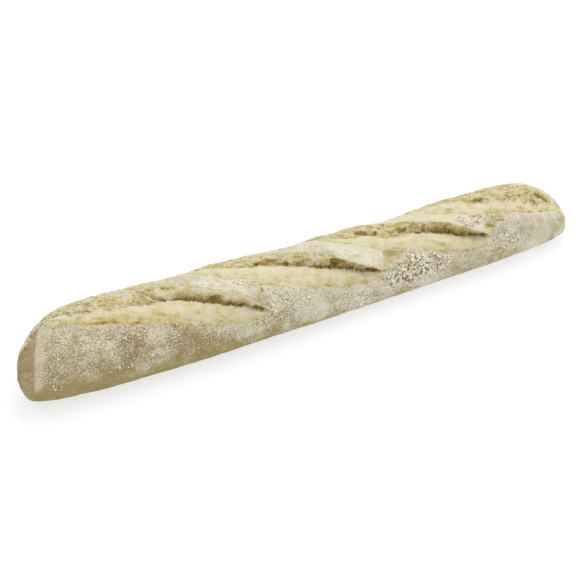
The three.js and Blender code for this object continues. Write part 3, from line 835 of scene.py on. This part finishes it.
# Four values, each varied by patterns: the pattern, its strength, the level around which it
# varies, and where it acts.
EVERYWHERE = 1.0
varied = {}
for name, value, layers in (
        ("flour", shown["flour"], (
            ("flour grain", 3.5, 0.5, shown["grainy"]),
            ("flour cloud", 0.5, 0.5, EVERYWHERE),
            ("low streak", 0.5, 0.5, EVERYWHERE),
            ("ridge fold", 1.8, 0.5, shown["ridge"]),
            ("clump", 0.7, 0.3, shown["coarse"]),
            ("crack", -0.8, 0.15, shown["flaky"]))),
        ("browning_and_shade", shown["browning_and_shade"], (
            ("flour cloud", 0.35, 0.5, EVERYWHERE),
            ("crumb grain", 0.55, 0.5, EVERYWHERE),
            ("dough streak", 0.65, 0.5, EVERYWHERE),
            ("fibre", -0.45, 0.5, shown["fibrous"]),
            ("flour grain", 0.55, 0.5, EVERYWHERE),
            # Painted light on the rims of the pits and painted shade inside them.
            ("pit rim", -0.2, 0.0, shown["bubbly"]),
            ("pit", 0.5, 0.0, shown["bubbly"]))),
        ("crumb", shown["crumb"], (
            ("flour grain", 1.4, 0.5, EVERYWHERE),)),
        ("height", pattern["flour grain"], (
            ("clump", 1.5, 0.0, shown["coarse"]),
            ("pit", -2.0, 0.0, shown["bubbly"]),
            ("fibre", 1.2, 0.5, shown["fibrous"])))):
    for layer, strength, level, where in layers:
        variation = add(tree, "ShaderNodeMath", {"operation": "MULTIPLY_ADD"},
                        {0: pattern[layer], 1: strength, 2: -strength * level}).outputs[0]
        value = add(tree, "ShaderNodeMath", {"operation": "MULTIPLY_ADD"},
                    {0: variation, 1: where, 2: value}).outputs[0]
    varied[name] = value

# Two colours that go through tints as their value grows: where each tint starts and is full. A
# colour mix takes its two colours at inputs 6 and 7 and gives the mixed one at output 2.
shades = {}
for name, first, tints in (
        ("flour", CRUST_BROWN, (
            (-0.5, 0.1, CRUST_TAN),
            (0.1, 0.6, FLOUR_GREY),
            (0.6, 1.2, FLOUR_WHITE))),
        ("browning_and_shade", PALE_CREAM, (
            (0.05, 0.35, BUTTER_CREAM),
            (0.35, 0.62, TOASTED_TAN),
            (0.62, 0.85, SHADED_AMBER),
            (0.85, 1.15, SHADED_DEEP_BROWN)))):
    shade = colour(first)
    for start, full, tint in tints:
        part = add(tree, "ShaderNodeMapRange", {},
                   {"Value": varied[name], "From Min": start, "From Max": full}).outputs[0]
        shade = add(tree, "ShaderNodeMix", {"data_type": "RGBA"},
                    {0: part, 6: shade, 7: colour(tint)}).outputs[2]
    shades[name] = shade
torn_open = add(tree, "ShaderNodeMapRange", {},
                {"Value": varied["crumb"], "From Min": 0.25, "From Max": 0.5}).outputs[0]
bread_colour = add(tree, "ShaderNodeMix", {"data_type": "RGBA"},
                   {0: torn_open, 6: shades["flour"], 7: shades["browning_and_shade"]}).outputs[2]
bump = add(tree, "ShaderNodeBump", {},
           {"Height": varied["height"], "Strength": 0.9, "Distance": 0.6 * MM}).outputs["Normal"]
shader = add(tree, "ShaderNodeBsdfPrincipled", {}, {
    "Base Color": bread_colour, "Roughness": 0.9, "Specular IOR Level": 0.25, "Normal": bump})
add(tree, "ShaderNodeOutputMaterial", {}, {"Surface": shader.outputs[0]})
loaf_mesh.materials.append(bread)

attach(loaf, "root")
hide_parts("loaf")

# Flour grains
# Wheat flour that clung to the damp dough, dried into grains of half to one millimetre. They
# are scattered over the crust, thinly on the side and closer together where it lies thick.
GRAINS = 9000
GRAIN_RADIUS = (0.25, 0.5)
GRAIN_FLATNESS = 0.75
GRAIN_ROUGHNESS = 0.22
loaf_mesh.calc_loop_triangles()
corners = np.zeros(len(loaf_mesh.loop_triangles) * 3, np.int32)
loaf_mesh.loop_triangles.foreach_get("vertices", corners)
corners = corners.reshape(-1, 3)
first_corner, second_corner, third_corner = (point[corners[:, i]] for i in range(3))
facing = np.cross(second_corner - first_corner, third_corner - first_corner)
area = np.linalg.norm(facing, axis=1) / 2
facing = unit(facing)


def scattered(count, density, random):
    """Random places on the loaf, closer where the density is high: point, way it faces, nearest vertex."""
    weight = area * density[corners].mean(axis=1)
    chosen = random.choice(len(corners), count, p=weight / weight.sum())
    portions = random.dirichlet((1, 1, 1), count)
    places = np.einsum("nk,nkc->nc", portions, point[corners[chosen]])
    return places, facing[chosen], corners[chosen, 0]


def lumps(name, subdivisions, places, outwards, sizes, whiteness, flatness, roughness, random):
    """One mesh of many irregular lumps, each pressed flat against the crust, with a flour-white top lit by
    painted light and a foot darkened by painted shade.
    """
    bm = bmesh.new()
    bmesh.ops.create_icosphere(bm, subdivisions=subdivisions, radius=1)
    bm.verts.index_update()
    ball = np.array([v.co for v in bm.verts])
    ball_faces = np.array([[v.index for v in face.verts] for face in bm.faces])
    bm.free()
    count = len(places)
    sideways = unit(np.cross(outwards, random.standard_normal((count, 3))))
    forwards = np.cross(outwards, sideways)
    shape = ball * (1 + roughness * random.standard_normal((count, len(ball), 1)))
    stretch = random.uniform(0.7, 1.35, (count, 1, 1))
    offsets = (shape[:, :, :1] * stretch * sideways[:, None] + shape[:, :, 1:2] / stretch * forwards[:, None]
               + flatness * shape[:, :, 2:] * outwards[:, None])
    co = places[:, None] + sizes[:, None, None] * offsets
    faces = ball_faces + len(ball) * np.arange(count)[:, None, None]
    mesh = bpy.data.meshes.new(name)
    mesh.from_pydata((co * MM).reshape(-1, 3), [], faces.reshape(-1, 3))
    mesh.shade_smooth()
    # Painted light and shade: each lump is lighter towards its top and darker towards its foot, besides its
    # share of flour.
    floury_and_lit = ball[:, 2] + random.uniform(-0.6, 0.4, (count, 1)) + whiteness[:, None]
    attribute = mesh.attributes.new("floury_and_lit", "FLOAT", "POINT")
    attribute.data.foreach_set("value", floury_and_lit.ravel().astype(np.float32))
    return put_in_scene(name, mesh)


random = np.random.default_rng(21)
granular = smooth((0.5 + 0.8 * broken - 0.4 * clouds) / 0.6)
off_the_floor = smooth((point[:, 2] - 3) / 3)
grain_density = (crust + 0.15 * share["edge"]) * (0.15 + granular) * smooth((low_band + 4 - s) / 8)
grain_density *= smooth((s + 60) / 15) * (1 - 0.9 * face) * (1 - 0.5 * coarse)
grain_density *= (1 - below_tear) * smooth(2 * flour) * (1 - 0.9 * cream_ridge) * off_the_floor
places, outwards, nearest = scattered(GRAINS, grain_density, random)
radii = random.uniform(*GRAIN_RADIUS, GRAINS)
whiteness = 0.8 * (flour[nearest] - 0.7)
flour_grains = lumps("flour_grains", 1, places, outwards, radii, whiteness,
                     GRAIN_FLATNESS, GRAIN_ROUGHNESS, random)

# Dried flour: opaque and dull, creamy white on top and browner at the foot, partly a stain from the crust and
# partly painted shade under each lump. The eye gets small bright specks, each with a browner rim.
DRY_FLOUR = "#efe8d4"
STAINED_AND_SHADED_FLOUR = "#a09062"
dried, tree = new_material("dried flour")
floury_and_lit = add(tree, "ShaderNodeAttribute", {"attribute_name": "floury_and_lit"}, {}).outputs["Fac"]
topside = add(tree, "ShaderNodeMapRange", {},
              {"Value": floury_and_lit, "From Min": -0.2, "From Max": 0.75}).outputs[0]
flour_colour = add(tree, "ShaderNodeMix", {"data_type": "RGBA"},
                   {0: topside, 6: colour(STAINED_AND_SHADED_FLOUR), 7: colour(DRY_FLOUR)}).outputs[2]
shader = add(tree, "ShaderNodeBsdfPrincipled", {}, {
    "Base Color": flour_colour, "Roughness": 1.0, "Specular IOR Level": 0.1})
add(tree, "ShaderNodeOutputMaterial", {}, {"Surface": shader.outputs[0]})
flour_grains.data.materials.append(dried)

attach(flour_grains, "root")
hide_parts("loaf")

# Flour clumps
# Where flour and damp dough met thickly, they dried into flat clumps of one to three millimetres, which lie
# close together in patches, with darker crust in the gaps between them, partly bare crust and partly painted
# shade.
CLUMPS = 1800
CLUMP_RADIUS = (0.45, 1.3)
CLUMP_FLATNESS = 0.75
CLUMP_ROUGHNESS = 0.16
random = np.random.default_rng(33)
clump_density = np.minimum(coarse, 0.75) ** 0.9 + 0.006 * crust * smooth((low_band - s) / 6)
clump_density *= (1 - below_tear) * (1 - face) * off_the_floor
places, outwards, nearest = scattered(CLUMPS, clump_density, random)
radii = random.uniform(*CLUMP_RADIUS, CLUMPS) * mix(0.5, 1, coarse[nearest])
whiteness = 0.7 * np.minimum(coarse[nearest] - 0.6, 0)
flour_clumps = lumps("flour_clumps", 2, places, outwards, radii, whiteness,
                     CLUMP_FLATNESS, CLUMP_ROUGHNESS, random)
flour_clumps.data.materials.append(dried)

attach(flour_clumps, "root")
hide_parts("loaf")

# Dough strands
# Threads of crumb that stretched while the cuts opened in the oven and dried across the slots.
# They are thin in the middle and thicker where they hold on to the torn wall and to the skin.
STRAND_RADIUS = 0.22
STRAND_SIDES = 6
STRAND_PARTS = 6
STRAND_BEND = np.array([0, -0.5, 0.7])
# The cut that each group crosses, from which u to which, and how many strands it has.
STRANDS = [(0, -104, -60, 7), (1, -34, 44, 9), (2, 98, 147, 9)]


def on_crust(u_wanted, s_wanted):
    return point[np.argmin((u - u_wanted) ** 2 + (s - s_wanted) ** 2)]


# Each strand is a small flat grid, rolled up round a bent line from the wall to the skin.
random = np.random.default_rng(5)
strand_bm = bmesh.new()
for index, start, end, count in STRANDS:
    for from_u in np.linspace(start, end, count) + random.uniform(-1, 1, count):
        crease = float(cut_lines(index, np.array([from_u]))[1][0])
        top = on_crust(from_u, crease - random.uniform(1.5, 3))
        foot = on_crust(from_u + random.uniform(-6, 6), crease + random.uniform(0.8, 2.5))
        bend = (top + foot) / 2 + STRAND_BEND * random.uniform(0.3, 1.2)
        thickness = STRAND_RADIUS * random.uniform(0.7, 1.2)
        across_one = unit(np.cross(foot - top, (1, 0, 0)))
        across_two = unit(np.cross(foot - top, across_one))
        flat = bmesh.ops.create_grid(strand_bm, x_segments=STRAND_SIDES, y_segments=STRAND_PARTS, size=1)
        for vert in flat["verts"]:
            turn = math.pi * (vert.co.x + 1)
            way = (vert.co.y + 1) / 2
            middle = (1 - way) ** 2 * top + 2 * way * (1 - way) * bend + way ** 2 * foot
            radius = thickness * (0.45 + 0.9 * (2 * way - 1) ** 2)
            ring = math.cos(turn) * across_one + math.sin(turn) * across_two
            vert.co = (middle + radius * ring) * MM
bmesh.ops.remove_doubles(strand_bm, verts=strand_bm.verts, dist=0.01 * MM)
bmesh.ops.recalc_face_normals(strand_bm, faces=strand_bm.faces)
strand_mesh = bpy.data.meshes.new("dough_strands")
strand_bm.to_mesh(strand_mesh)
strand_bm.free()
strand_mesh.shade_smooth()
strands = put_in_scene("dough_strands", strand_mesh)

# Dry crumb threads: pale and matt. The eye gets light lines across the brown slots.
THREAD_CREAM = "#bfab70"
thread, tree = new_material("dry crumb thread")
shader = add(tree, "ShaderNodeBsdfPrincipled", {}, {
    "Base Color": colour(THREAD_CREAM), "Roughness": 0.9, "Specular IOR Level": 0.2})
add(tree, "ShaderNodeOutputMaterial", {}, {"Surface": shader.outputs[0]})
strand_mesh.materials.append(thread)

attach(strands, "root")
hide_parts("loaf")

# Light and floor
# A white table lit from below in a bright tent of light, as for a catalogue picture. The lamp
# stands to the right, so the left is a little darker, and only a faint shadow stays on the table.
WHITE = "#ffffff"
TENT_AT_LEFT = 0.7
TENT_AT_RIGHT = 1.15
bpy.context.scene.view_settings.view_transform = "Standard"
world = bpy.data.worlds.new("light tent")
bpy.context.scene.world = world
world.use_nodes = True
tree = world.node_tree
tree.nodes.clear()
direction = add(tree, "ShaderNodeTexCoord", {}, {}).outputs["Generated"]
sideways = add(tree, "ShaderNodeSeparateXYZ", {}, {0: direction}).outputs["X"]
brightness = add(tree, "ShaderNodeMapRange", {}, {
    "Value": sideways, "From Min": -1.0, "From Max": 1.0,
    "To Min": TENT_AT_LEFT, "To Max": TENT_AT_RIGHT}).outputs[0]
background = add(tree, "ShaderNodeBackground", {}, {"Color": colour(WHITE), "Strength": brightness})
add(tree, "ShaderNodeOutputWorld", {}, {"Surface": background.outputs[0]})

SOFTBOX_SIZE = 0.9
SOFTBOX_WATTS = 6
SOFTBOX_PLACE = (0.3, 0.4, 1.2)
light_data = bpy.data.lights.new("softbox", "AREA")
light_data.shape = "SQUARE"
light_data.size = SOFTBOX_SIZE
light_data.energy = SOFTBOX_WATTS
softbox = put_in_scene("softbox", light_data)
softbox.location = SOFTBOX_PLACE
softbox.rotation_euler = Vector(SOFTBOX_PLACE).to_track_quat("Z", "Y").to_euler()

FLOOR_SIZE = 6
floor_bm = bmesh.new()
bmesh.ops.create_grid(floor_bm, x_segments=1, y_segments=1, size=FLOOR_SIZE / 2)
floor_mesh = bpy.data.meshes.new("floor")
floor_bm.to_mesh(floor_mesh)
floor_bm.free()
floor = put_in_scene("floor", floor_mesh)

# Opal acrylic: white light comes through it from below, and it scatters the light from above. The
# eye gets an even white, with only a soft grey shadow under the loaf.
OPAL_GREY = "#a0a2a7"
opal, tree = new_material("opal acrylic table")
shader = add(tree, "ShaderNodeBsdfPrincipled", {}, {
    "Base Color": colour(OPAL_GREY), "Roughness": 1.0, "Specular IOR Level": 0.0,
    "Emission Color": colour(WHITE), "Emission Strength": 0.66})
add(tree, "ShaderNodeOutputMaterial", {}, {"Surface": shader.outputs[0]})
floor_mesh.materials.append(opal)
